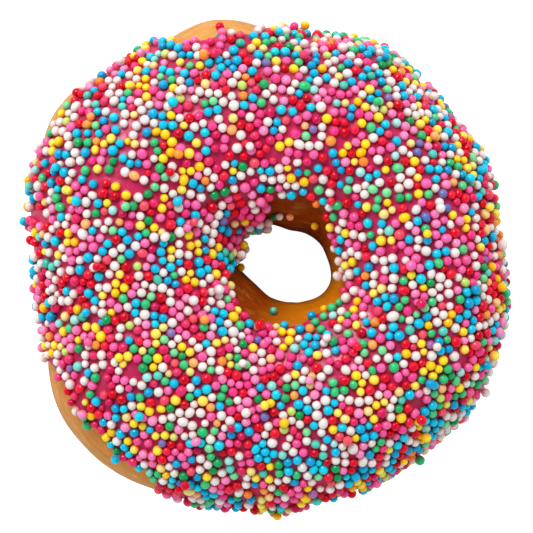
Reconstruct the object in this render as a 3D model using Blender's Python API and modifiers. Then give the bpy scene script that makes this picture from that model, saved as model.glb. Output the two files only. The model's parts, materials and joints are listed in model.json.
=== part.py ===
"""A ring doughnut with an iced top, in metres, +Z up, resting on z = 0 with the middle of its box on the axis.
The dough is a torus whose section is drawn out to an uneven outline and an off-centre oval hole.
The icing is a thin shell laid over it, with its own wavy edge outside and inside the hole."""

import bpy
import numpy as np
from mathutils import Vector

MM = 0.001

# the ring as seen from above: a mean radius, then waves round it as (count, mm, direction of a crest)
OUTLINE_RADIUS = 43.25
OUTLINE_WAVES = (
    (1, 1.45, 166), (2, 0.65, -73), (3, 1.15, 0), (4, 1.15, -43), (5, 0.55, 3), (6, 0.7, -22), (8, 0.5, 14),
    (9, 0.4, -18), (10, 0.45, -6),
)
HOLE_CENTRE = (3.4, 0.6)
HOLE_RADIUS = 7.6
HOLE_WAVES = ((1, 0.8, 147), (2, 1.55, -26), (3, 0.55, 32), (4, 0.4, -30))

# the section: the widest line's height, the crown above it, and how far it would hang below it
EQUATOR_HEIGHT = 13.4
CROWN_RISE = 15.4
BELLY_DROP = 14.3
CROWN_SQUARENESS = 2.1
BELLY_SQUARENESS = 2.35
CROWN_WAVES = ((1, 0.5, 110), (2, 0.45, 35), (3, 0.3, 80), (5, 0.2, 10))
EQUATOR_WAVES = ((1, 0.5, 250), (2, 0.5, 130), (3, 0.35, 20))

# the icing: how far it stands off the dough, its thickness, and its edges as (direction, degrees above
# the widest line) round the outside and round the hole
ICING_GAP = 0.35
ICING_THICKNESS = 0.9
OUTER_EDGE = (
    (0, 10), (6, 14), (14, 19), (23, 14), (35, 17), (44, 4), (70, 2), (87, 3), (95, 36), (104, 40),
    (112, 34), (118, 6), (124, 12), (134, 28), (148, 30), (156, 8), (167, 8), (176, 13), (190, 9),
    (200, 14), (208, 34), (216, 38), (237, 38), (246, 20), (253, 4), (271, 6), (280, 24), (289, 27),
    (297, 4), (322, 3), (331, 16), (344, 16), (352, 10),
)
HOLE_EDGE = (
    (0, 35), (20, 33), (36, 36), (46, 45), (60, 48), (88, 52), (98, 46), (109, 42), (119, 4), (135, -4),
    (168, -2), (182, 30), (190, 35), (200, 38), (210, 41), (225, 44), (245, 46), (262, 44), (280, 40),
    (298, 35), (312, 37), (330, 41), (345, 38),
)

RING_STEPS = 80
SECTION_STEPS = 28
ICING_STEPS = 15


def waves(angle, table):
    return sum(size * np.cos(count * (angle - np.radians(crest))) for count, size, crest in table)


def eased(angle, table):
    """The value between two stations of a table round the ring, with a level tangent at each."""
    at = np.degrees(angle) % 360
    ends = [*table, (table[0][0] + 360, table[0][1])]
    for (a, low), (b, high) in zip(ends, ends[1:]):
        if a <= at <= b:
            share = (1 - np.cos(np.pi * (at - a) / (b - a))) / 2
            return low + (high - low) * share
    return table[0][1]


def surface(angle, turn, stand_off):
    """A point of the dough's skin in mm: angle runs round the ring, turn round its section from the outside up."""
    away = np.array((np.cos(angle), np.sin(angle)))
    outer = away * (OUTLINE_RADIUS + waves(angle, OUTLINE_WAVES) + stand_off)
    inner = np.array(HOLE_CENTRE) + away * (HOLE_RADIUS + waves(angle, HOLE_WAVES) - stand_off)
    up = np.sin(turn) >= 0
    power = 2 / (CROWN_SQUARENESS if up else BELLY_SQUARENESS)
    across = np.sign(np.cos(turn)) * abs(np.cos(turn)) ** power
    rise = np.sign(np.sin(turn)) * abs(np.sin(turn)) ** power
    half = CROWN_RISE + waves(angle, CROWN_WAVES) if up else BELLY_DROP
    x, y = (outer + inner) / 2 + (outer - inner) / 2 * across
    z = EQUATOR_HEIGHT + waves(angle, EQUATOR_WAVES) * (1 if up else 0.6 + 0.4 * (1 + rise)) + (half + stand_off) * rise
    return x, y, z


def material(name, colour, roughness):
    made = bpy.data.materials.new(name)
    made.use_nodes = True
    shader = next(n for n in made.node_tree.nodes if n.type == "BSDF_PRINCIPLED")
    shader.inputs["Base Color"].default_value = (*colour, 1)
    shader.inputs["Roughness"].default_value = roughness
    made.diffuse_color = (*colour, 1)
    return made


def torus(name, section_steps):
    """A torus primitive, moved into the part's collection, with the (angle, turn) step of each vertex."""
    bpy.ops.mesh.primitive_torus_add(
        major_segments=RING_STEPS, minor_segments=section_steps, major_radius=0.026, minor_radius=0.015
    )
    made = bpy.context.object
    made.name = made.data.name = name
    for other in list(made.users_collection):
        other.objects.unlink(made)
    group.objects.link(made)
    steps = []
    for vertex in made.data.vertices:
        x, y, z = vertex.co
        steps.append((
            round(np.arctan2(y, x) / (2 * np.pi) * RING_STEPS) % RING_STEPS,
            round(np.arctan2(z, np.hypot(x, y) - 0.026) / (2 * np.pi) * section_steps) % section_steps,
        ))
    return made, steps


for obj in list(bpy.data.objects):
    bpy.data.objects.remove(obj)
group = bpy.data.collections.new("sprinkle_frosted_doughnut")
bpy.context.scene.collection.children.link(group)

# dough: the whole ring, with the belly cut level where it rests
dough, steps = torus("dough_ring", SECTION_STEPS)
for vertex, (i, j) in zip(dough.data.vertices, steps):
    x, y, z = surface(2 * np.pi * i / RING_STEPS, 2 * np.pi * j / SECTION_STEPS, 0)
    vertex.co = Vector((x, y, max(z, 0))) * MM
dough.data.materials.append(material("fried_dough", (0.62, 0.36, 0.12), 0.55))

# icing: the upper strip of a torus, laid on the dough between its two edges, then thickened outwards
icing, steps = torus("pink_icing", 2 * ICING_STEPS)
lower = {v for v, (i, j) in enumerate(steps) if j > ICING_STEPS}
for vertex, (i, j) in zip(icing.data.vertices, steps):
    angle = 2 * np.pi * i / RING_STEPS
    start = np.radians(eased(angle, OUTER_EDGE))
    end = np.pi - np.radians(eased(angle, HOLE_EDGE))
    share = min(j, ICING_STEPS) / ICING_STEPS
    vertex.co = Vector(surface(angle, start + (end - start) * share, ICING_GAP)) * MM
kept = [tuple(face.vertices) for face in icing.data.polygons if not lower & set(face.vertices)]
used = sorted({v for face in kept for v in face})
place = {v: k for k, v in enumerate(used)}
points = [tuple(icing.data.vertices[v].co) for v in used]
icing.data.clear_geometry()
icing.data.from_pydata(points, [], [[place[v] for v in face] for face in kept])
icing.data.update()
shell = icing.modifiers.new("thickness", "SOLIDIFY")
shell.thickness = ICING_THICKNESS * MM
shell.offset = 1
shell.use_even_offset = False
icing.modifiers.new("shortest diagonals", "TRIANGULATE").quad_method = "SHORTEST_DIAGONAL"
icing.data.materials.append(material("pink_icing", (0.75, 0.12, 0.33), 0.3))

# both moved so that the middle of their common box stands over the origin
bpy.context.view_layer.update()
graph = bpy.context.evaluated_depsgraph_get()
found = []
for obj in (dough, icing):
    shaped = obj.evaluated_get(graph).to_mesh()
    found += [tuple(v.co) for v in shaped.vertices]
    obj.evaluated_get(graph).to_mesh_clear()
low, high = np.min(found, axis=0), np.max(found, axis=0)
for obj in (dough, icing):
    for vertex in obj.data.vertices:
        vertex.co -= Vector(((low[0] + high[0]) / 2, (low[1] + high[1]) / 2, 0))
    obj.data.update()
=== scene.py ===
"""The looks of a ring doughnut with pink icing and sugar sprinkles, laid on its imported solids."""

import json
import math

import bpy
import numpy as np
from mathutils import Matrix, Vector, noise
from mathutils.bvhtree import BVHTree
from mathutils.kdtree import KDTree


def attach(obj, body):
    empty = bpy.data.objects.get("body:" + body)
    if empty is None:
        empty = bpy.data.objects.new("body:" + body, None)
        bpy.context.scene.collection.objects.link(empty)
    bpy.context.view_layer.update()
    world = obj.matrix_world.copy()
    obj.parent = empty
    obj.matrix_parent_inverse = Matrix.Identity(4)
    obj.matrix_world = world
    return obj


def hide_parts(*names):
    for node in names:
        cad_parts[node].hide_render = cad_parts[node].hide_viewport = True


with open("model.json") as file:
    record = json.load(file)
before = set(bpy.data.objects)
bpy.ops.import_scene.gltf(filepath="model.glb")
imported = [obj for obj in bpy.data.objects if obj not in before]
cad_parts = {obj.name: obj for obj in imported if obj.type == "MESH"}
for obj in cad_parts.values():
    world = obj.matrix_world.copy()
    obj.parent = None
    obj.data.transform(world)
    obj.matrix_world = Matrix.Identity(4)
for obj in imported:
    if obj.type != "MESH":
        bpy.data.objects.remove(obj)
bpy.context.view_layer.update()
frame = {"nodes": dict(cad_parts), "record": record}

# ---------------------------------------------------------------- camera
# It hangs straight over the ring on a long lens, with the top of its picture towards +Y.
WIDEST = 0.0134  # height of the ring's widest line over the table
CAMERA_ABOVE = 0.50  # from the widest line up to the lens
VIEW_ACROSS = 0.09594  # what the picture spans at the widest line
CAMERA_XY = (-0.0003, -0.0004)
SENSOR = 36.0

camera = bpy.data.objects.new("camera", bpy.data.cameras.new("camera"))
camera.data.sensor_width = SENSOR
camera.data.lens = SENSOR * CAMERA_ABOVE / VIEW_ACROSS
camera.data.clip_start = 0.01
camera.location = (*CAMERA_XY, WIDEST + CAMERA_ABOVE)
bpy.context.scene.collection.objects.link(camera)
bpy.context.scene.camera = camera

# ---------------------------------------------------------------- dough ring
# Yeast dough, shaped into a ring by hand and fried on one side and then the other. The fat browns both
# faces and leaves a paler band round the widest line, where the ring floats.
ROUND = 600  # steps of the grid round the ring
OVER = 160  # steps of the grid over its section
LUMPS = ((0.00022, 0.011, 1), (0.00010, 0.0042, 10))  # how far the crumb pushes the skin, length and seed
CREASES = ((0.00009, 0.0013, 5, 2), (0.00005, 0.0007, 4, 3))  # depth, width, lengths to a width, seed
BLISTER_COUNT = 90
BLISTER_WIDTH, BLISTER_RISE = (0.0006, 0.0017), (0.00006, 0.00017)
LEVEL_OFF = 0.0015  # nothing stands out from the belly below this height, where the ring rests
PAST_WALL = 0.003  # how far within the dough the rays start that look for its outer side
WALL_PASSES, SKIN_PASSES = 8, (26, 12)  # how often each scan is smoothed

hole_middle = np.array(frame["record"]["physics"]["openings"][0]["box_m"]).mean(0)[:2]
angles = 2 * np.pi * np.arange(ROUND) / ROUND
outwards = np.stack([np.cos(angles), np.sin(angles), np.zeros(ROUND)], 1)
upwards = np.array((0.0, 0.0, 1.0))


def tree_of(node):
    mesh = frame["nodes"][node].data
    return BVHTree.FromPolygons([v.co for v in mesh.vertices], [p.vertices for p in mesh.polygons])


def reach(tree, start, way):
    """How far from start the tree's surface is along way, or NaN where the ray misses it."""
    hit = tree.ray_cast(Vector(start), Vector(way))[0]
    return (hit - Vector(start)).length if hit else math.nan


def softened(grid, round_passes, over_passes=0):
    for axis, passes in ((0, round_passes), (1, over_passes)):
        for _ in range(passes):
            grid = (np.roll(grid, 1, axis) + 2 * grid + np.roll(grid, -1, axis)) / 4
    return grid


def roughness_of(points, length, seed, stretch=(1, 1, 1)):
    """Smooth noise between about -1 and 1 at each point, with lumps of this length."""
    scaled = points.reshape(-1, 3) / (length * np.array(stretch)) + seed * 17.3
    return np.array([noise.noise(Vector(p)) for p in scaled]).reshape(points.shape[:-1])


def facing(grid):
    """The outward normal at each point of a grid that closes round the ring and over the section."""
    along = np.roll(grid, -1, 0) - np.roll(grid, 1, 0)
    across = np.roll(grid, -1, 1) - np.roll(grid, 1, 1)
    normal = np.cross(along, across)
    return normal / np.linalg.norm(normal, axis=2, keepdims=True)


def ring_piece(name, grid, material):
    """A closed ring of quads over the grid, mapped once round the ring and once over its section."""
    rows, columns = grid.shape[:2]
    i, j = (steps.ravel() for steps in np.meshgrid(np.arange(rows), np.arange(columns), indexing="ij"))
    corners = ((0, 0), (1, 0), (1, 1), (0, 1))
    faces = np.stack([(i + a) % rows * columns + (j + b) % columns for a, b in corners], 1)
    mesh = bpy.data.meshes.new(name)
    mesh.from_pydata(grid.reshape(-1, 3).tolist(), [], faces.tolist())
    places = np.stack([np.stack([(i + a) / rows, (j + b) / columns], 1) for a, b in corners], 1)
    mesh.uv_layers.new(name="OFBake").data.foreach_set("uv", places.astype(np.float32).ravel())
    mesh.polygons.foreach_set("use_smooth", [True] * len(faces))
    mesh.materials.append(material)
    made = bpy.data.objects.new(name, mesh)
    bpy.context.scene.collection.objects.link(made)
    return made


dough_solid = tree_of("dough_ring")
start = np.array((*hole_middle, WIDEST))
wall = softened(np.array([reach(dough_solid, start, way) for way in outwards]), WALL_PASSES)
inside = start + outwards * (wall[:, None] + PAST_WALL)
width = np.array([reach(dough_solid, point, way) for point, way in zip(inside, outwards)])
width = softened(width, WALL_PASSES) + PAST_WALL
core = start + outwards * (wall + width / 2)[:, None]
turns = 2 * np.pi * np.arange(OVER) / OVER
ways = outwards[:, None] * np.cos(turns)[None, :, None] + upwards * np.sin(turns)[None, :, None]
depth = np.array([[reach(dough_solid, c, w) for w in row] for c, row in zip(core, ways)])
depth = softened(depth, *SKIN_PASSES)
skin = core[:, None] + ways * depth[:, :, None]
for size, length, seed in LUMPS:
    skin = skin + facing(skin) * (size * roughness_of(skin, length, seed))[:, :, None]
skin[:, :, 2] = np.maximum(skin[:, :, 2], 0)
skin_face = facing(skin)

crust = sum(
    size * roughness_of(skin, across, seed, (longer, longer, 1)) for size, across, longer, seed in CREASES
)
random = np.random.default_rng(11)
for _ in range(BLISTER_COUNT):
    spot = skin[random.integers(ROUND), random.integers(OVER)]
    blister = np.exp(-(((skin - spot) ** 2).sum(2)) / random.uniform(*BLISTER_WIDTH) ** 2)
    crust = crust + random.uniform(*BLISTER_RISE) * blister
dough_grid = skin + skin_face * (crust * np.clip(skin[:, :, 2] / LEVEL_OFF, 0, 1))[:, :, None]
dough_grid[:, :, 2] = np.maximum(dough_grid[:, :, 2], 0)


def add(tree, kind, at=(0, 0), inputs=None, **settings):
    """A node of this kind, with its settings, and its inputs set or linked by name or number."""
    made = tree.nodes.new(kind)
    made.location = at
    for key, value in settings.items():
        setattr(made, key, value)
    for key, value in (inputs or {}).items():
        if isinstance(value, bpy.types.NodeSocket):
            tree.links.new(value, made.inputs[key])
        else:
            made.inputs[key].default_value = value
    return made


def mixed(tree, factor, a, b, at=(0, 0), blend="MIX"):
    a, b = ((*colour, 1) if isinstance(colour, tuple) else colour for colour in (a, b))
    return add(
        tree, "ShaderNodeMix", at, {0: factor, 6: a, 7: b}, data_type="RGBA", blend_type=blend
    ).outputs[2]


def between(tree, value, low, high, at=(0, 0), out=(0.0, 1.0)):
    """A smooth step from one value to another as the input goes from low to high."""
    return add(
        tree, "ShaderNodeMapRange", at,
        {"Value": value, "From Min": low, "From Max": high, "To Min": out[0], "To Max": out[1]},
        interpolation_type="SMOOTHSTEP",
    ).outputs["Result"]


def cloudy(tree, place, scale, at=(0, 0), **inputs):
    finer = {key.capitalize(): value for key, value in inputs.items()}
    return add(tree, "ShaderNodeTexNoise", at, {"Vector": place, "Scale": scale, **finer}).outputs["Fac"]


def calculated(tree, operation, *values, at=(0, 0)):
    return add(tree, "ShaderNodeMath", at, dict(enumerate(values)), operation=operation).outputs[0]


def vectors(tree, operation, one, two=(0, 0, 0), at=(0, 0), out="Vector"):
    second = "Scale" if operation == "SCALE" else 1
    return add(tree, "ShaderNodeVectorMath", at, {0: one, second: two}, operation=operation).outputs[out]


def new_material(name):
    made = bpy.data.materials.new(name)
    made.use_nodes = True
    return made, made.node_tree, made.node_tree.nodes["Principled BSDF"]


def bumped(tree, shader, height, strength, distance):
    bump = add(
        tree, "ShaderNodeBump", (-200, -300), {"Height": height, "Strength": strength, "Distance": distance}
    )
    tree.links.new(bump.outputs["Normal"], shader.inputs["Normal"])


PALE_BAND = (0.68, 0.310, 0.073)
CROWN_BROWN = (0.62, 0.24, 0.040)
BELLY_BROWN = (0.40, 0.13, 0.022)
# the hole's wall as painted lit by the lamp, and in painted shade on its far side
HOLE_LIT_AMBER = (0.62, 0.185, 0.003)
HOLE_SHADED_BROWN = (0.26, 0.036, 0.001)
FRECKLE = (0.48, 0.18, 0.022)
WANDER = 0.007  # what broad noise adds to a point's height, so that the band's edges wander
BELLY_TO_BAND, BAND_TO_CROWN = (0.0095, 0.0150), (0.0235, 0.0295)  # heights, with the wander counted in
TILT = (-0.045, -0.055, 0)
OUT_OF_HOLE = (0.0125, 0.0185)  # distances from the hole's middle over which its colour fades out
# painted shade deep in the hole, darkest lower down where its wall turns under
HOLE_SHADE_HEIGHTS, HOLE_SHADE_DIM = (0.0150, 0.0225), 0.62  # heights over which it gets lighter, and from what
# the side of the hole whose wall faces the lamp, where it is painted lit
HOLE_LIT_SIDE = (0.7, -0.71, 0)

fried_dough, tree, shader = new_material("fried dough")
place = add(tree, "ShaderNodeTexCoord", (-2000, 0)).outputs["Object"]
height = add(tree, "ShaderNodeSeparateXYZ", (-1800, -200), {"Vector": place}).outputs["Z"]
broad = cloudy(tree, place, 110.0, (-1800, 100), detail=3.0)
wander = calculated(tree, "MULTIPLY_ADD", broad, WANDER, height, at=(-1600, -100))
over_belly = between(tree, wander, *BELLY_TO_BAND, (-1400, -100))
# the ring floated a little tilted, so the crown's brown comes further down on its -X -Y side
tilt = vectors(tree, "DOT_PRODUCT", place, TILT, (-1800, 400), "Value")
tilted = calculated(tree, "ADD", wander, tilt, at=(-1600, 400))
under_crown = between(tree, tilted, *BAND_TO_CROWN, (-1400, -300), (1.0, 0.0))
band = calculated(tree, "MULTIPLY", over_belly, under_crown, at=(-1200, -200))
crust_colour = mixed(tree, over_belly, BELLY_BROWN, CROWN_BROWN, (-1200, 100))
crust_colour = mixed(tree, band, crust_colour, PALE_BAND, (-1000, 100))
# the hole is browner; its wall is painted lit amber towards +X -Y, facing the lamp, and shaded brown opposite
from_hole = vectors(tree, "SUBTRACT", place, (*hole_middle, 0), (-1800, -500))
from_hole = vectors(tree, "MULTIPLY", from_hole, (1, 1, 0), (-1600, -500))
toward_hole_lit_side = vectors(tree, "NORMALIZE", from_hole, at=(-1400, -700))
toward_hole_lit_side = vectors(tree, "DOT_PRODUCT", toward_hole_lit_side, HOLE_LIT_SIDE, (-1200, -700), "Value")
from_hole = vectors(tree, "LENGTH", from_hole, at=(-1400, -500), out="Value")
in_hole = between(tree, from_hole, *OUT_OF_HOLE, (-1200, -500), (1.0, 0.0))
hole_lit_share = between(tree, toward_hole_lit_side, 0.1, 1.1, (-1000, -700))
hole_colour = mixed(tree, hole_lit_share, HOLE_SHADED_BROWN, HOLE_LIT_AMBER, (-800, -600))
# painted shade: the hole's colour darkens lower down in the hole
painted_hole_shade = between(tree, wander, *HOLE_SHADE_HEIGHTS, (-1200, -900), (HOLE_SHADE_DIM, 1.0))
hole_colour = mixed(tree, 1.0, hole_colour, painted_hole_shade, (-600, -600), "MULTIPLY")
crust_colour = mixed(tree, in_hole, crust_colour, hole_colour, (-800, 100))
# the crust is mottled, in streaks that run round the ring on its upright sides
streaks = vectors(tree, "MULTIPLY", place, (1, 1, 3.5), (-1800, 700))
mottle = cloudy(tree, streaks, 330.0, (-1600, 700), detail=5.0, roughness=0.62)
mottle_share = between(tree, mottle, 0.46, 0.78, (-1000, 500), (0.0, 0.65))
crust_colour = mixed(tree, mottle_share, crust_colour, FRECKLE, (-600, 150))
# painted highlights: pale streaks between the darker mottles, brightening the crust as glossy streaks would
painted_highlight_streaks = between(tree, mottle, 0.27, 0.46, (-1000, 700), (1.35, 1.0))
crust_colour = mixed(tree, 1.0, crust_colour, painted_highlight_streaks, (-400, 150), "MULTIPLY")
grain = cloudy(tree, streaks, 2100.0, (-1600, 950), detail=3.0)
grain_share = between(tree, grain, 0.3, 0.7, (-1000, 950), (0.90, 1.08))
crust_colour = mixed(tree, 1.0, crust_colour, grain_share, (-200, 150), "MULTIPLY")
tree.links.new(crust_colour, shader.inputs["Base Color"])
tree.links.new(between(tree, mottle, 0.3, 0.7, (-400, -150), (0.28, 0.50)), shader.inputs["Roughness"])
bumped(tree, shader, grain, 0.4, 0.0002)
shader.inputs["Specular IOR Level"].default_value = 0.12

dough = ring_piece("dough", dough_grid, fried_dough)
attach(dough, "root")
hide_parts("dough_ring")

# ---------------------------------------------------------------- bed of icing
# Pink sugar icing that the crown was dipped into, about a millimetre deep. It ran a little before it
# set, so its edges are wavy outside and in the hole, and rounded where they meet the dough.
ICING_DEEP = 0.0011
EDGE_ROUND = 0.0011  # how far in from the edge the icing comes to its full depth
SUNK = 0.00035  # how far its underside lies within the dough
EDGE_STEPS, CROWN_STEPS, UNDER_STEPS = 8, 112, 14
EDGE_PASSES = 16  # how often the scanned edges are smoothed, before finer waves go on them
EDGE_WAVE = 0.00040
OUTER_EDGE, OUTER_WAVES = 0.042, ((1, 0.0045, 4), (0.5, 0.0018, 5))  # radius, then weight, length and seed
INNER_EDGE, INNER_WAVES = 0.011, ((1, 0.0035, 6), (0.4, 0.0015, 7))
SWELLS = ((0.00012, 0.006, 8), (0.00005, 0.0024, 9))  # height, length and seed
RIM = 3  # columns of the grid at each edge where the icing neither swells nor climbs
SCAN = np.radians(np.arange(-36, 217, 1.2))  # turns of the rays that look for the icing
ACROSS = 0.024  # what is further from the section's middle than this is the other side of the ring

icing_solid = tree_of("pink_icing")
first, last = np.zeros(ROUND), np.zeros(ROUND)
for i in range(ROUND):
    rays = (outwards[i] * math.cos(t) + upwards * math.sin(t) for t in SCAN)
    met = [t for t, ray in zip(SCAN, rays) if reach(icing_solid, core[i], ray) < ACROSS]
    first[i], last[i] = met[0], met[-1]
first, last = softened(first, EDGE_PASSES), softened(last, EDGE_PASSES)

# the skin's own section as a line, from well under the outer edge up over the crown and into the hole
span = np.radians(np.arange(-60, 241, 1.5))
columns = (span / (2 * np.pi) * OVER) % OVER
whole = np.floor(columns).astype(int)
share = (columns - whole)[None, :, None]
section, section_face = (
    grid[:, whole % OVER] * (1 - share) + grid[:, (whole + 1) % OVER] * share for grid in (skin, skin_face)
)
run = np.cumsum(np.linalg.norm(np.diff(section, axis=1, prepend=section[:, :1]), axis=2), axis=1)


def edge_wave(radius, waves):
    """How far the edge at this radius strays from its smoothed line, in each direction."""
    return EDGE_WAVE * sum(
        weight * roughness_of(outwards * radius, length, seed) for weight, length, seed in waves
    )


outer_wave = edge_wave(OUTER_EDGE, OUTER_WAVES)
inner_wave = edge_wave(INNER_EDGE, INNER_WAVES)
lead = EDGE_ROUND * (1 - np.cos(np.linspace(0, np.pi / 2, EDGE_STEPS)))
ON_TOP = 2 * EDGE_STEPS + CROWN_STEPS  # columns of the grid that are seen
icing_grid = np.zeros((ROUND, ON_TOP + UNDER_STEPS, 3))
icing_face = np.zeros_like(icing_grid)
for i in range(ROUND):
    low = np.interp(first[i], span, run[i]) + outer_wave[i]
    high = np.interp(last[i], span, run[i]) - inner_wave[i]
    flat = np.linspace(low + EDGE_ROUND, high - EDGE_ROUND, CROWN_STEPS + 2)[1:-1]
    under = np.linspace(high, low, UNDER_STEPS + 2)[1:-1]
    at = np.concatenate([low + lead, flat, high - lead[::-1], under])
    base, face = (
        np.stack([np.interp(at, run[i], line[i, :, k]) for k in range(3)], 1)
        for line in (section, section_face)
    )
    inwards = np.minimum(at - low, high - at)
    rise = -SUNK + (ICING_DEEP + SUNK) * np.sqrt(1 - (1 - np.clip(inwards / EDGE_ROUND, 0, 1)) ** 2)
    rise[-UNDER_STEPS:] = -SUNK
    icing_grid[i] = base + face * rise[:, None]
    icing_face[i] = face
swell = sum(size * roughness_of(icing_grid, length, seed) for size, length, seed in SWELLS)
swell[:, :RIM] = swell[:, ON_TOP - RIM :] = 0
icing_grid = icing_grid + icing_face * swell[:, :, None]

# ---------------------------------------------------------------- where the sprinkles lie
# Round sugar sprinkles of one to two millimetres, rolled onto the wet icing. They lie one deep and nearly
# touching, each set a little into the icing, with gaps here and there and a few on top of the others.
MEAN_RADIUS, RADIUS_SPREAD = 0.00081, 0.000065
SMALLEST, LARGEST = 0.00050, 0.00102
COVER = 0.74  # share of the icing that the first layer would hide if none overlapped
EDGE_SHARE = 0.62  # how thickly they lie down at the widest line, against the crown
EDGE_RISE = 0.006  # how far over the widest line they first lie as thickly as on the crown
BED_RIM = 5  # columns of the icing's grid at each edge where none lies
EVEN_STEPS, EVEN_REACH = 40, 1.16  # first they are spread evenly, each keeping this many times its size
KICK = 0.00040  # then they are rolled about, and settle without overlaps
SETTLE_STEPS = 60
NEAR, NEAR_STEPS = 2.9 * MEAN_RADIUS, 6  # pairs this close push, and are found again every few steps
STAND = (0.45, 0.80)  # how high each middle stands over the icing, in radii
SPOT_PUSH = 0.3  # share of the way out of a bare spot that one goes in a step
SQUEEZE = 0.4  # overlap, in mean radii, past which one of the two falls off
BARE_SPOTS = (  # direction in degrees, then distance from the ring's middle and radius in mm
    (104, 42.2, 1.25), (90, 42.7, 0.7), (80, 40.2, 0.8), (218, 30.2, 1.2), (317, 35.6, 1.0),
    (334, 38.0, 0.9), (292, 11.4, 0.7), (302, 11.8, 0.7), (250, 43.6, 0.6), (118, 43.0, 0.7), (50, 43.0, 0.6),
)
STRAYS = (  # on bare dough: direction, degrees over the widest line, in the hole or not, colour, mm radius
    (54, 27, True, "yellow", 0.70), (87, 30, True, "orange", 0.68), (99, 24, True, "white", 0.70),
    (105, 23, True, "green", 0.66), (187, 8, True, "yellow", 0.74), (253, 27, True, "aqua", 0.70),
    (264, 43, True, "yellow", 0.96), (106, 24, False, "red", 0.80), (107, 33, False, "blue", 0.76),
)
EMBED = 0.75  # how high a stray's middle stands over the dough, in radii

top = icing_grid[:, BED_RIM : ON_TOP - BED_RIM]
rows, columns = top.shape[:2]
i, j = (steps.ravel() for steps in np.meshgrid(np.arange(rows), np.arange(columns - 1), indexing="ij"))
here, beyond = i * columns + j, (i + 1) % rows * columns + j
quads = np.stack([here, beyond, beyond + 1, here + 1], 1)
flat_top = top.reshape(-1, 3)
bed = BVHTree.FromPolygons(flat_top.tolist(), quads.tolist())
corner = [flat_top[quads[:, k]] for k in range(4)]
areas = np.linalg.norm(np.cross(corner[2] - corner[0], corner[3] - corner[1]), axis=1) / 2

random = np.random.default_rng(5)
count = int(COVER * areas.sum() / (np.pi * (MEAN_RADIUS**2 + RADIUS_SPREAD**2)))
radius = np.clip(random.normal(MEAN_RADIUS, RADIUS_SPREAD, count), SMALLEST, LARGEST)
stand = random.uniform(*STAND, count)
crowd = areas * np.interp(corner[0][:, 2], (WIDEST, WIDEST + EDGE_RISE), (EDGE_SHARE, 1.0))
chosen = random.choice(len(quads), count, p=crowd / crowd.sum())
u, v = random.random((2, count, 1))
middle = (
    corner[0][chosen] * (1 - u) * (1 - v) + corner[1][chosen] * u * (1 - v)
    + corner[2][chosen] * u * v + corner[3][chosen] * (1 - u) * v
)
spots = np.array([
    (math.cos(math.radians(direction)) * distance, math.sin(math.radians(direction)) * distance)
    for direction, distance, _ in BARE_SPOTS
]) / 1000
spot_radius = np.array([size for _, _, size in BARE_SPOTS]) / 1000


def seat(points, heights):
    """Each point moved to stand this high over the nearest place on the icing."""
    placed = np.empty_like(points)
    for k, (point, height) in enumerate(zip(points, heights)):
        spot, face = bed.find_nearest(Vector(point))[:2]
        placed[k] = spot + face * height
    return placed


def tree_at(points):
    tree = KDTree(len(points))
    for k, point in enumerate(points):
        tree.insert(Vector(point), k)
    tree.balance()
    return tree


def close_pairs(points, distance):
    tree = tree_at(points)
    return np.array([
        (k, other)
        for k, point in enumerate(points)
        for _, other, _ in tree.find_range(point, distance) if other > k
    ])


middle = seat(middle, radius * stand)
for step in range(EVEN_STEPS + SETTLE_STEPS):
    wide = EVEN_REACH if step < EVEN_STEPS else 1.0
    if step == EVEN_STEPS:
        middle = middle + random.normal(0, KICK, middle.shape)
    if step % NEAR_STEPS == 0 or step == EVEN_STEPS:
        one, two = close_pairs(middle, NEAR).T
    gap = middle[one] - middle[two]
    apart = np.linalg.norm(gap, axis=1)
    push = np.maximum((radius[one] + radius[two]) * wide - apart, 0) * 0.5  # each gives way by half
    shove = gap / np.maximum(apart, 1e-7)[:, None] * push[:, None]
    moved = np.zeros_like(middle)
    np.add.at(moved, one, shove)
    np.add.at(moved, two, -shove)
    away = middle[:, None, :2] - spots
    far_off = np.linalg.norm(away, axis=2)
    out = np.maximum(spot_radius + radius[:, None] - far_off, 0) * (middle[:, None, 2] > WIDEST)
    moved[:, :2] += (away / far_off[:, :, None] * out[:, :, None] * SPOT_PUSH).sum(1)
    middle = seat(middle + moved, radius * stand)

# where two still share more than a little room, the smaller of them fell off
one, two = close_pairs(middle, NEAR).T
overlap = radius[one] + radius[two] - np.linalg.norm(middle[one] - middle[two], axis=1)
squeezed = {
    int(min(pair, key=lambda k: radius[k]))
    for pair, shared in zip(zip(one, two), overlap) if shared > SQUEEZE * MEAN_RADIUS
}
kept = np.array([k not in squeezed for k in range(count)])
middle, radius, stand = middle[kept], radius[kept], stand[kept]

# the icing climbs a little up each sprinkle that sits in it
CLIMB, CLIMB_REACH = 0.00014, 0.00034  # how high, and over what distance it falls away
first_layer = tree_at(middle)
standing = radius * stand
contact = np.sqrt(radius**2 - standing**2)
climbed = np.zeros(icing_grid.shape[:2])
for i in range(ROUND):
    for j in range(RIM, ON_TOP - RIM):
        for _, k, away in first_layer.find_n(Vector(icing_grid[i, j]), 3):
            aside = math.sqrt(max(away**2 - standing[k] ** 2, 0))
            climbed[i, j] = max(climbed[i, j], CLIMB * math.exp(-max(aside - contact[k], 0) / CLIMB_REACH))
icing_grid = icing_grid + icing_face * climbed[:, :, None]

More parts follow.
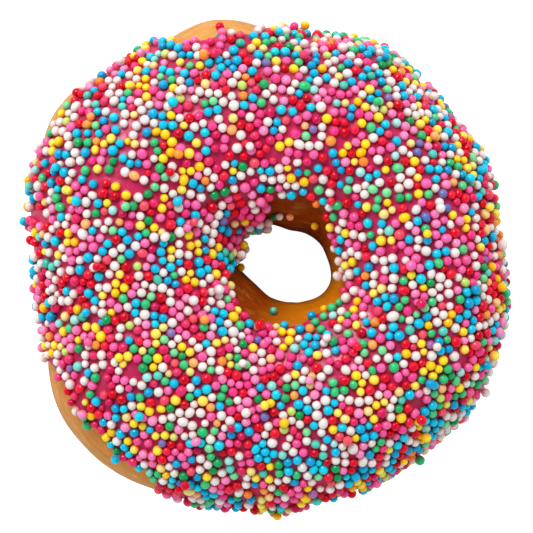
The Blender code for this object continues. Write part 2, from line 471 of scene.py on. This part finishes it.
# a few sprinkles lie on the others: each takes the lowest of some places where it rests on those below
SECOND_LAYER = 85
PLACES, PLACE_SPREAD = 14, 0.0009  # how many are tried, and how far they stray from one of the first layer
UNDER_REACH = 0.0034  # how far from the place those it may rest on can be
LEAST_HEIGHT, LEAST_RAISED = 0.7, 1.25  # over the icing in radii: at all, and to count as lying on others
NESTLED = 0.93  # squared distance at which one rests on another, as a share of their squared reach
TOUCHING = 1.04  # share of the sum of two radii up to which they count as touching
CLEAR = 0.95  # least distance of two on top, as a share of the sum of their radii
piled, piled_radius = [], []
for _ in range(SECOND_LAYER):
    size = float(np.clip(random.normal(MEAN_RADIUS, RADIUS_SPREAD), SMALLEST, LARGEST))
    near = random.integers(len(middle))
    best = None
    for _ in range(PLACES):
        spot, way = bed.find_nearest(Vector(middle[near] + random.normal(0, PLACE_SPREAD, 3)))[:2]
        height = size * LEAST_HEIGHT
        below = first_layer.find_range(spot, UNDER_REACH)
        for centre, k, _ in below:
            up = (centre - spot).dot(way)
            room = (radius[k] + size) ** 2 * NESTLED - ((centre - spot).length_squared - up * up)
            if room > 0:
                height = max(height, up + math.sqrt(room))
        perch = spot + way * height
        touching = sum((centre - perch).length < (radius[k] + size) * TOUCHING for centre, k, _ in below)
        if touching > 1 and height > size * LEAST_RAISED and (best is None or height < best[0]):
            best = (height, perch)
    others = zip(piled, piled_radius)
    if best and all((best[1] - other).length > (size + wide) * CLEAR for other, wide in others):
        piled.append(best[1])
        piled_radius.append(size)
middle = np.concatenate([middle, np.array([tuple(perch) for perch in piled])])
radius = np.concatenate([radius, piled_radius])

# ---------------------------------------------------------------- icing
# The same icing once the sprinkles sit in it. It has set glossy and a little cloudy, and it sticks to the
# crown as one skin, closed underneath where it lies within the dough.
ICING_PINK = (0.60, 0.022, 0.120)
ICING_DEEPER = (0.40, 0.006, 0.045)
ICING_PALE = (0.72, 0.075, 0.24)

pink_icing, tree, shader = new_material("pink icing")
place = add(tree, "ShaderNodeTexCoord", (-1300, 0)).outputs["Object"]
cloud = cloudy(tree, place, 260.0, (-1100, 100), detail=4.0)
streak = cloudy(tree, place, 900.0, (-1100, -150), detail=2.0, distortion=0.8)
deeper_share = between(tree, cloud, 0.35, 0.7, (-900, 100), (0.0, 0.6))
paler_share = between(tree, streak, 0.55, 0.8, (-900, -150), (0.0, 0.4))
tone = mixed(tree, deeper_share, ICING_PINK, ICING_DEEPER, (-600, 100))
tone = mixed(tree, paler_share, tone, ICING_PALE, (-400, 100))
tree.links.new(tone, shader.inputs["Base Color"])
tree.links.new(between(tree, cloud, 0.3, 0.7, (-600, -200), (0.24, 0.38)), shader.inputs["Roughness"])
bumped(tree, shader, streak, 0.25, 0.0002)
shader.inputs["Specular IOR Level"].default_value = 0.45

icing = ring_piece("icing", icing_grid, pink_icing)
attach(icing, "root")
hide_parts("pink_icing")

# ---------------------------------------------------------------- sugar sprinkles
# Small balls of sugar, tumbled in sugar syrup and dyed through, in eleven colours, one piece for each.
# Their undersides, towards the icing, are painted darker pink: painted shade and the icing's pink bounce
# light, with some stain.
COLOURS = {  # share, colour, deeper colour, paler colour
    "white": (0.228, (0.775, 0.762, 0.745), (0.76, 0.71, 0.68), (0.80, 0.795, 0.78)),
    "pink": (0.180, (0.87, 0.145, 0.43), (0.85, 0.038, 0.24), (0.90, 0.31, 0.58)),
    "rose": (0.058, (0.76, 0.024, 0.15), (0.58, 0.008, 0.095), (0.86, 0.105, 0.15)),
    "red": (0.100, (0.76, 0.002, 0.026), (0.56, 0.001, 0.014), (0.85, 0.018, 0.065)),
    "blue": (0.160, (0.000, 0.55, 0.85), (0.000, 0.36, 0.68), (0.005, 0.66, 0.87)),
    "green": (0.090, (0.035, 0.57, 0.21), (0.002, 0.34, 0.09), (0.20, 0.75, 0.35)),
    "yellow": (0.105, (0.94, 0.74, 0.020), (0.93, 0.56, 0.004), (0.94, 0.80, 0.12)),
    "orange": (0.022, (0.92, 0.34, 0.060), (0.90, 0.24, 0.03), (0.92, 0.48, 0.20)),
    "aqua": (0.022, (0.10, 0.64, 0.54), (0.02, 0.48, 0.34), (0.40, 0.78, 0.76)),
    "cream": (0.025, (0.87, 0.76, 0.26), (0.86, 0.55, 0.26), (0.48, 0.73, 0.15)),
    "violet": (0.010, (0.20, 0.17, 0.46), (0.10, 0.17, 0.50), (0.40, 0.16, 0.42)),
}
CLUMPED = 0.11  # share that takes the colour of a neighbour, as they clump in the jar
shares = np.array([entry[0] for entry in COLOURS.values()])
dealt = random.choice(len(COLOURS), len(middle), p=shares / shares.sum())
everyone = tree_at(middle)
for k in np.flatnonzero(random.random(len(middle)) < CLUMPED):
    dealt[k] = dealt[everyone.find_n(Vector(middle[k]), 2)[1][1]]
for direction, up, in_hole, colour, size in STRAYS:
    i = round(direction / 360 * ROUND) % ROUND
    j = round((180 - up if in_hole else up) / 360 * OVER) % OVER
    middle = np.concatenate([middle, [skin[i, j] + skin_face[i, j] * size / 1000 * EMBED]])
    radius = np.append(radius, size / 1000)
    dealt = np.append(dealt, list(COLOURS).index(colour))

upright = np.array([tuple(bed.find_nearest(Vector(point))[1]) for point in middle])

# the tree that sets a small ball on each point, with its own turn, stretch and shade
BALL = 1.03  # the flat faces cut inside the round ball, so it is made this much larger
FULL_TURN = 6.283
balls = bpy.data.node_groups.new("sugar balls", "GeometryNodeTree")
for name, kind, value in (
    ("Geometry", "NodeSocketGeometry", None),
    ("Ball Steps", "NodeSocketInt", 2),
    ("Uneven", "NodeSocketFloat", 0.05),
    ("Oval Share", "NodeSocketFloat", 0.07),
    ("Oval", "NodeSocketFloat", 0.22),
    ("Cells Across", "NodeSocketInt", 10),
    ("Seed", "NodeSocketInt", 0),
    ("Material", "NodeSocketMaterial", None),
):
    socket = balls.interface.new_socket(name, in_out="INPUT", socket_type=kind)
    if value is not None:
        socket.default_value = value
balls.interface.new_socket("Geometry", in_out="OUTPUT", socket_type="NodeSocketGeometry")
given = add(balls, "NodeGroupInput", (-1600, 0)).outputs


def stored(geometry, name, value, kind, domain, at):
    return add(
        balls, "GeometryNodeStoreNamedAttribute", at, {"Geometry": geometry, "Name": name, "Value": value},
        data_type=kind, domain=domain,
    ).outputs["Geometry"]


def drawn(kind, at, out, **inputs):
    values = {key.capitalize(): value for key, value in inputs.items()}
    return add(
        balls, "FunctionNodeRandomValue", at, {**values, "Seed": given["Seed"]}, data_type=kind
    ).outputs[out]


def named(name, kind, at):
    read = add(balls, "GeometryNodeInputNamedAttribute", at, {"Name": name}, data_type=kind)
    return read.outputs["Attribute"]


points = stored(given["Geometry"], "shade", drawn("FLOAT", (-1300, 300), 1), "FLOAT", "POINT", (-1100, 300))
index = add(balls, "GeometryNodeInputIndex", (-1300, 100)).outputs[0]
points = stored(points, "cell", index, "INT", "POINT", (-900, 300))
ball = add(
    balls, "GeometryNodeMeshIcoSphere", (-1100, -100), {"Radius": BALL, "Subdivisions": given["Ball Steps"]}
)
ball_mesh = stored(ball.outputs["Mesh"], "ball_map", ball.outputs["UV Map"], "FLOAT2", "CORNER", (-900, -100))
turn = drawn("FLOAT_VECTOR", (-1100, -400), 0, max=(FULL_TURN, FULL_TURN, FULL_TURN))
turn = add(balls, "FunctionNodeEulerToRotation", (-900, -400), {0: turn}).outputs[0]
spread = drawn("FLOAT_VECTOR", (-1100, -600), 0, min=(-1.0, -1.0, -1.0))
spread = vectors(balls, "SCALE", spread, given["Uneven"], (-900, -600))
oval = drawn("BOOLEAN", (-1100, -800), 3, probability=given["Oval Share"])
longer = calculated(balls, "MULTIPLY_ADD", oval, given["Oval"], 1.0, at=(-1000, -900))
longer = add(balls, "ShaderNodeCombineXYZ", (-900, -800), {"X": 1.0, "Y": 1.0, "Z": longer}).outputs[0]
scale = vectors(balls, "ADD", spread, longer, (-700, -700))
scale = vectors(balls, "SCALE", scale, named("radius", "FLOAT", (-700, -900)), (-500, -700))
set_out = add(
    balls, "GeometryNodeInstanceOnPoints", (-400, 0),
    {"Points": points, "Instance": ball_mesh, "Rotation": turn, "Scale": scale},
).outputs[0]
real = add(balls, "GeometryNodeRealizeInstances", (-200, 0), {"Geometry": set_out}).outputs[0]
# how far each point of a ball faces away from the icing, for the painted shade on its underside
outward = add(balls, "GeometryNodeInputNormal", (-400, 300)).outputs[0]
over_bed = named("upright", "FLOAT_VECTOR", (-400, 450))
topside = vectors(balls, "DOT_PRODUCT", outward, over_bed, (-200, 300), "Value")
real = stored(real, "topside", topside, "FLOAT", "POINT", (-100, 150))
# each ball has a square cell of its own on the piece's map
cell = named("cell", "INT", (-400, -300))
across = calculated(balls, "MODULO", cell, given["Cells Across"], at=(-200, -300))
down = calculated(balls, "DIVIDE", cell, given["Cells Across"], at=(-200, -450))
down = calculated(balls, "FLOOR", down, at=(0, -450))
cell_corner = add(balls, "ShaderNodeCombineXYZ", (200, -300), {"X": across, "Y": down}).outputs[0]
in_cell = named("ball_map", "FLOAT_VECTOR", (0, -600))
in_cell = vectors(balls, "MULTIPLY", in_cell, (0.9, 0.9, 0), (200, -600))
in_cell = vectors(balls, "ADD", in_cell, (0.05, 0.05, 0), (400, -600))
one_cell = calculated(balls, "DIVIDE", 1.0, given["Cells Across"], at=(400, -800))
cell_place = vectors(balls, "ADD", cell_corner, in_cell, (600, -400))
cell_place = vectors(balls, "SCALE", cell_place, one_cell, (800, -400))
real = stored(real, "OFBake", cell_place, "FLOAT2", "CORNER", (0, 0))
for k, name in enumerate(("ball_map", "cell", "radius", "upright")):
    real = add(
        balls, "GeometryNodeRemoveAttribute", (200 + 160 * k, 0), {"Geometry": real, "Name": name}
    ).outputs[0]
real = add(balls, "GeometryNodeSetShadeSmooth", (700, 0), {"Geometry": real}).outputs[0]
real = add(
    balls, "GeometryNodeSetMaterial", (860, 0), {"Geometry": real, "Material": given["Material"]}
).outputs[0]
add(balls, "NodeGroupOutput", (1020, 0), {"Geometry": real})

# the dyed sugar: each ball has its own shade, faint clouds where the dye took unevenly, and a fine grain
sugar = bpy.data.node_groups.new("dyed sugar", "ShaderNodeTree")
for name, kind, value in (
    ("Colour", "NodeSocketColor", (1, 1, 1, 1)),
    ("Deep", "NodeSocketColor", (1, 1, 1, 1)),
    ("Pale", "NodeSocketColor", (1, 1, 1, 1)),
    ("Cloud Scale", "NodeSocketFloat", 1300.0),
    ("Grain Scale", "NodeSocketFloat", 5200.0),
    ("Shiny", "NodeSocketFloat", 0.11),
    ("Dull", "NodeSocketFloat", 0.17),
    # the colour of the painted shade and pink bounce light on the underside, and up to what facing it reaches
    ("Painted Underside Shade", "NodeSocketColor", (1.0, 0.58, 0.58, 1)),
    ("Painted Shade Below", "NodeSocketFloat", 0.85),
):
    sugar.interface.new_socket(name, in_out="INPUT", socket_type=kind).default_value = value
for name, kind in (
    ("Colour", "NodeSocketColor"),
    ("Roughness", "NodeSocketFloat"),
    ("Height", "NodeSocketFloat"),
):
    sugar.interface.new_socket(name, in_out="OUTPUT", socket_type=kind)
given = add(sugar, "NodeGroupInput", (-1200, 0)).outputs
place = add(sugar, "ShaderNodeTexCoord", (-1200, -400)).outputs["Object"]
shade = add(sugar, "ShaderNodeAttribute", (-1200, 300), attribute_name="shade").outputs["Fac"]
cloud = cloudy(sugar, place, given["Cloud Scale"], (-1000, -200), detail=2.0)
grain = cloudy(sugar, place, given["Grain Scale"], (-1000, -450), detail=2.0)
paler = between(sugar, shade, 0.45, 1.0, (-800, 300))
tone = mixed(sugar, paler, given["Colour"], given["Pale"], (-600, 200))
deeper = between(sugar, shade, 0.0, 0.4, (-800, 100), (1.0, 0.0))
tone = mixed(sugar, deeper, tone, given["Deep"], (-400, 200))
clouded = between(sugar, cloud, 0.4, 0.75, (-800, -200), (0.0, 0.15))
tone = mixed(sugar, clouded, tone, given["Deep"], (-200, 200))
# painted shade and the icing's pink bounce light on each ball's underside, with some stain: the more it faces
# the icing, the darker
topside = add(sugar, "ShaderNodeAttribute", (-1000, 550), attribute_name="topside").outputs["Fac"]
painted_underside_shade = between(sugar, topside, 0.05, given["Painted Shade Below"], (-200, 500), (1.0, 0.0))
tone = mixed(sugar, painted_underside_shade, tone, given["Painted Underside Shade"], (0, 200), "MULTIPLY")
gloss = between(sugar, cloud, 0.3, 0.7, (-600, -200), (given["Shiny"], given["Dull"]))
add(sugar, "NodeGroupOutput", (200, 0), {"Colour": tone, "Roughness": gloss, "Height": grain})

for number, (colour, (_, body, deep, pale)) in enumerate(COLOURS.items()):
    sugar_material, tree, shader = new_material(f"{colour} sugar")
    tints = {"Colour": (*body, 1), "Deep": (*deep, 1), "Pale": (*pale, 1)}
    dyed = add(tree, "ShaderNodeGroup", (-400, 0), node_tree=sugar)
    for name, value in tints.items():
        dyed.inputs[name].default_value = value
    tree.links.new(dyed.outputs["Colour"], shader.inputs["Base Color"])
    tree.links.new(dyed.outputs["Roughness"], shader.inputs["Roughness"])
    bumped(tree, shader, dyed.outputs["Height"], 0.1, 0.00002)
    shader.inputs["Specular IOR Level"].default_value = 0.65
    shader.inputs["Subsurface Weight"].default_value = 0.5
    shader.inputs["Subsurface Radius"].default_value = (1.0, 1.0, 1.0)
    shader.inputs["Subsurface Scale"].default_value = 0.0007

    mine = dealt == number
    mesh = bpy.data.meshes.new(f"{colour} points")
    mesh.from_pydata(middle[mine].tolist(), [], [])
    mesh.attributes.new("radius", "FLOAT", "POINT").data.foreach_set("value", radius[mine].astype(np.float32))
    mesh.attributes.new("upright", "FLOAT_VECTOR", "POINT").data.foreach_set("vector", upright[mine].ravel())
    holder = bpy.data.objects.new(f"{colour} points", mesh)
    bpy.context.scene.collection.objects.link(holder)
    setter = holder.modifiers.new("balls", "NODES")
    setter.node_group = balls
    sockets = {item.name: item.identifier for item in balls.interface.items_tree if item.in_out == "INPUT"}
    setter[sockets["Cells Across"]] = math.ceil(math.sqrt(mine.sum()))
    setter[sockets["Seed"]] = 20 + number
    setter[sockets["Material"]] = sugar_material
    bpy.context.view_layer.update()
    seen = holder.evaluated_get(bpy.context.evaluated_depsgraph_get())
    sprinkles = bpy.data.objects.new(f"{colour}_sprinkles", bpy.data.meshes.new_from_object(seen))
    sprinkles.data.name = sprinkles.name
    bpy.context.scene.collection.objects.link(sprinkles)
    bpy.data.objects.remove(holder)
    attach(sprinkles, "root")

# ---------------------------------------------------------------- table and light
# A plain white table in a soft tent of light, dark straight above where the lens looks in and brightest
# on the +Y side, with one broad lamp there. Gloss picks up the lamp and only a little of the tent, and
# the table's own glow is for the eye only: it lights nothing.
TABLE_HALF = 1.5
LAMP_PLACE, LAMP_WIDTH, LAMP_POWER, LAMP_COLOUR = (-0.208, 0.515, 0.662), 0.44, 4.8, (1.0, 0.99, 0.97)
TENT_TOP, TENT_FAR, TENT_NEAR, TENT_IN_GLOSS = 0.12, 1.10, 1.25, 0.06
LAMP_SIDE = (-0.37, 0.93, 0)
TOP_STARTS, TOP_FULL = 0.6, 0.97  # how high the tent starts to darken and is darkest, straight up being 1

table_white, tree, shader = new_material("white table")
shader.inputs["Base Color"].default_value = (0.55, 0.55, 0.55, 1)
shader.inputs["Roughness"].default_value = 0.9
shader.inputs["Specular IOR Level"].default_value = 0.1
shader.inputs["Emission Color"].default_value = (1, 1, 1, 1)
seen_straight = add(tree, "ShaderNodeLightPath", (-600, -300)).outputs["Is Camera Ray"]
tree.links.new(seen_straight, shader.inputs["Emission Strength"])
mesh = bpy.data.meshes.new("table")
ends = [(x * TABLE_HALF, y * TABLE_HALF, 0) for x, y in ((-1, -1), (1, -1), (1, 1), (-1, 1))]
mesh.from_pydata(ends, [], [(0, 1, 2, 3)])
mesh.materials.append(table_white)
table = bpy.data.objects.new("table", mesh)
bpy.context.scene.collection.objects.link(table)

world = bpy.data.worlds.new("soft sky")
world.use_nodes = True
world.node_tree.nodes["Background"].inputs["Color"].default_value = (1.0, 1.0, 1.0, 1)
tree = world.node_tree
way = add(tree, "ShaderNodeTexCoord", (-800, 0)).outputs["Generated"]
towards_lamp = vectors(tree, "DOT_PRODUCT", way, LAMP_SIDE, (-600, 100), "Value")
sides = between(tree, towards_lamp, -1.0, 1.0, (-400, 100), (TENT_FAR, TENT_NEAR))
height = vectors(tree, "DOT_PRODUCT", way, (0, 0, 1), (-600, -100), "Value")
top_share = between(tree, height, TOP_STARTS, TOP_FULL, (-400, -100))
brightness = add(
    tree, "ShaderNodeMix", (-200, 0), {0: top_share, 2: sides, 3: TENT_TOP}, data_type="FLOAT"
).outputs[0]
in_gloss = add(tree, "ShaderNodeLightPath", (-400, -400)).outputs["Is Glossy Ray"]
in_gloss = between(tree, in_gloss, 0.0, 1.0, (-200, -400), (1.0, TENT_IN_GLOSS))
brightness = calculated(tree, "MULTIPLY", brightness, in_gloss, at=(-100, 0))
tree.links.new(brightness, tree.nodes["Background"].inputs["Strength"])
bpy.context.scene.world = world

lamp = bpy.data.objects.new("lamp", bpy.data.lights.new("lamp", "AREA"))
lamp.data.shape = "DISK"
lamp.data.size = LAMP_WIDTH
lamp.data.energy = LAMP_POWER
lamp.data.color = LAMP_COLOUR
lamp.location = LAMP_PLACE
lamp.rotation_euler = (-Vector(LAMP_PLACE)).to_track_quat("-Z", "Y").to_euler()
bpy.context.scene.collection.objects.link(lamp)
bpy.context.scene.view_settings.view_transform = "Standard"
